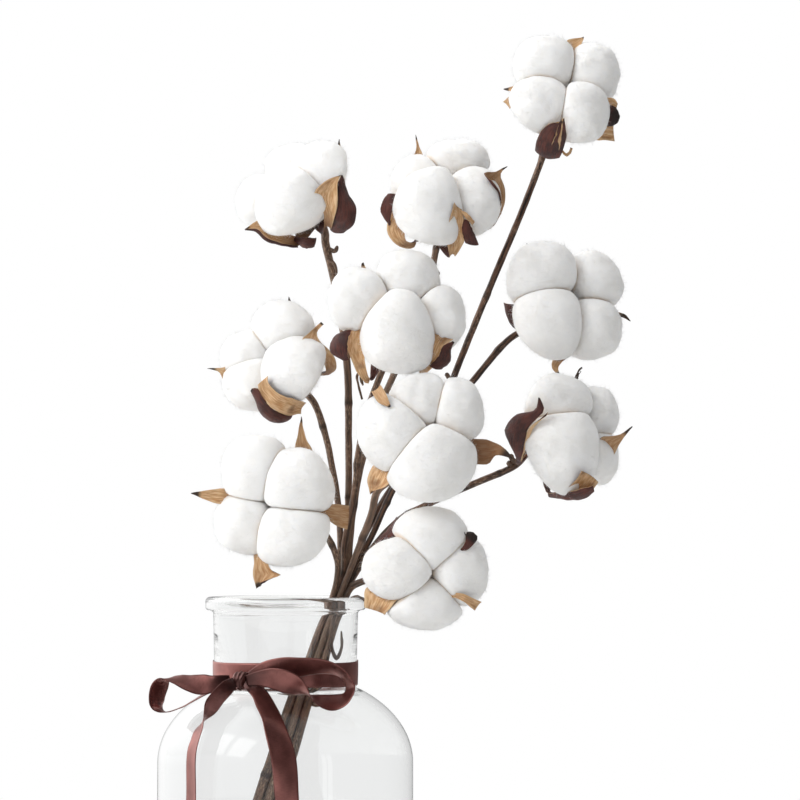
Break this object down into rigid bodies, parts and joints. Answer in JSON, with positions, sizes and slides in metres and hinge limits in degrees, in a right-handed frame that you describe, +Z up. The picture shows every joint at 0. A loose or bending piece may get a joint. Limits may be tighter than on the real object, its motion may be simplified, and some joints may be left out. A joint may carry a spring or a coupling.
{
  "type": "cotton stem bunch",
  "caption": "Bunch of open cotton bolls on dry stems, standing in a clear glass bottle vase with a ribbon bow at its neck.",
  "frame": {"origin": "centre of the vase's foot, on the surface that it stands on", "axes": "+Z up along the vase's axis, -Y towards the front where the bow is tied, +X to the right seen from the front"},
  "size_m": [0.2424, 0.136, 0.4747],
  "materials": {
    "glass": "clear colourless glass",
    "ribbon": "satin ribbon, dusky brown mauve",
    "stem": "dry dark brown bark and bur",
    "cotton": "matte white cotton fibre"
  },
  "bodies": {
    "root": {"vase_foot": "glass", "vase_wall": "glass", "vase_shoulder": "glass", "vase_neck": "glass", "ribbon_band": "ribbon", "ribbon_knot": "ribbon", "ribbon_loop_left": "ribbon", "ribbon_loop_right": "ribbon", "ribbon_tail_left": "ribbon", "ribbon_tail_right": "ribbon", "stem_a": "stem", "stem_b": "stem", "stem_c": "stem", "stem_d": "stem", "stem_e": "stem", "stem_f": "stem", "stem_g": "stem", "stem_h": "stem", "stem_i": "stem", "stem_j": "stem", "cotton_a_1": "cotton", "cotton_a_2": "cotton", "cotton_a_3": "cotton", "cotton_a_4": "cotton", "cotton_b_1": "cotton", "cotton_b_2": "cotton", "cotton_b_3": "cotton", "cotton_b_4": "cotton", "cotton_c_1": "cotton", "cotton_c_2": "cotton", "cotton_c_3": "cotton", "cotton_c_4": "cotton", "cotton_d_1": "cotton", "cotton_d_2": "cotton", "cotton_d_3": "cotton", "cotton_d_4": "cotton", "cotton_e_1": "cotton", "cotton_e_2": "cotton", "cotton_e_3": "cotton", "cotton_e_4": "cotton", "cotton_f_1": "cotton", "cotton_f_2": "cotton", "cotton_f_3": "cotton", "cotton_f_4": "cotton", "cotton_g_1": "cotton", "cotton_g_2": "cotton", "cotton_g_3": "cotton", "cotton_g_4": "cotton", "cotton_h_1": "cotton", "cotton_h_2": "cotton", "cotton_h_3": "cotton", "cotton_h_4": "cotton", "cotton_i_1": "cotton", "cotton_i_2": "cotton", "cotton_i_3": "cotton", "cotton_i_4": "cotton", "cotton_j_1": "cotton", "cotton_j_2": "cotton", "cotton_j_3": "cotton", "cotton_j_4": "cotton"}
  },
  "joints": []
}
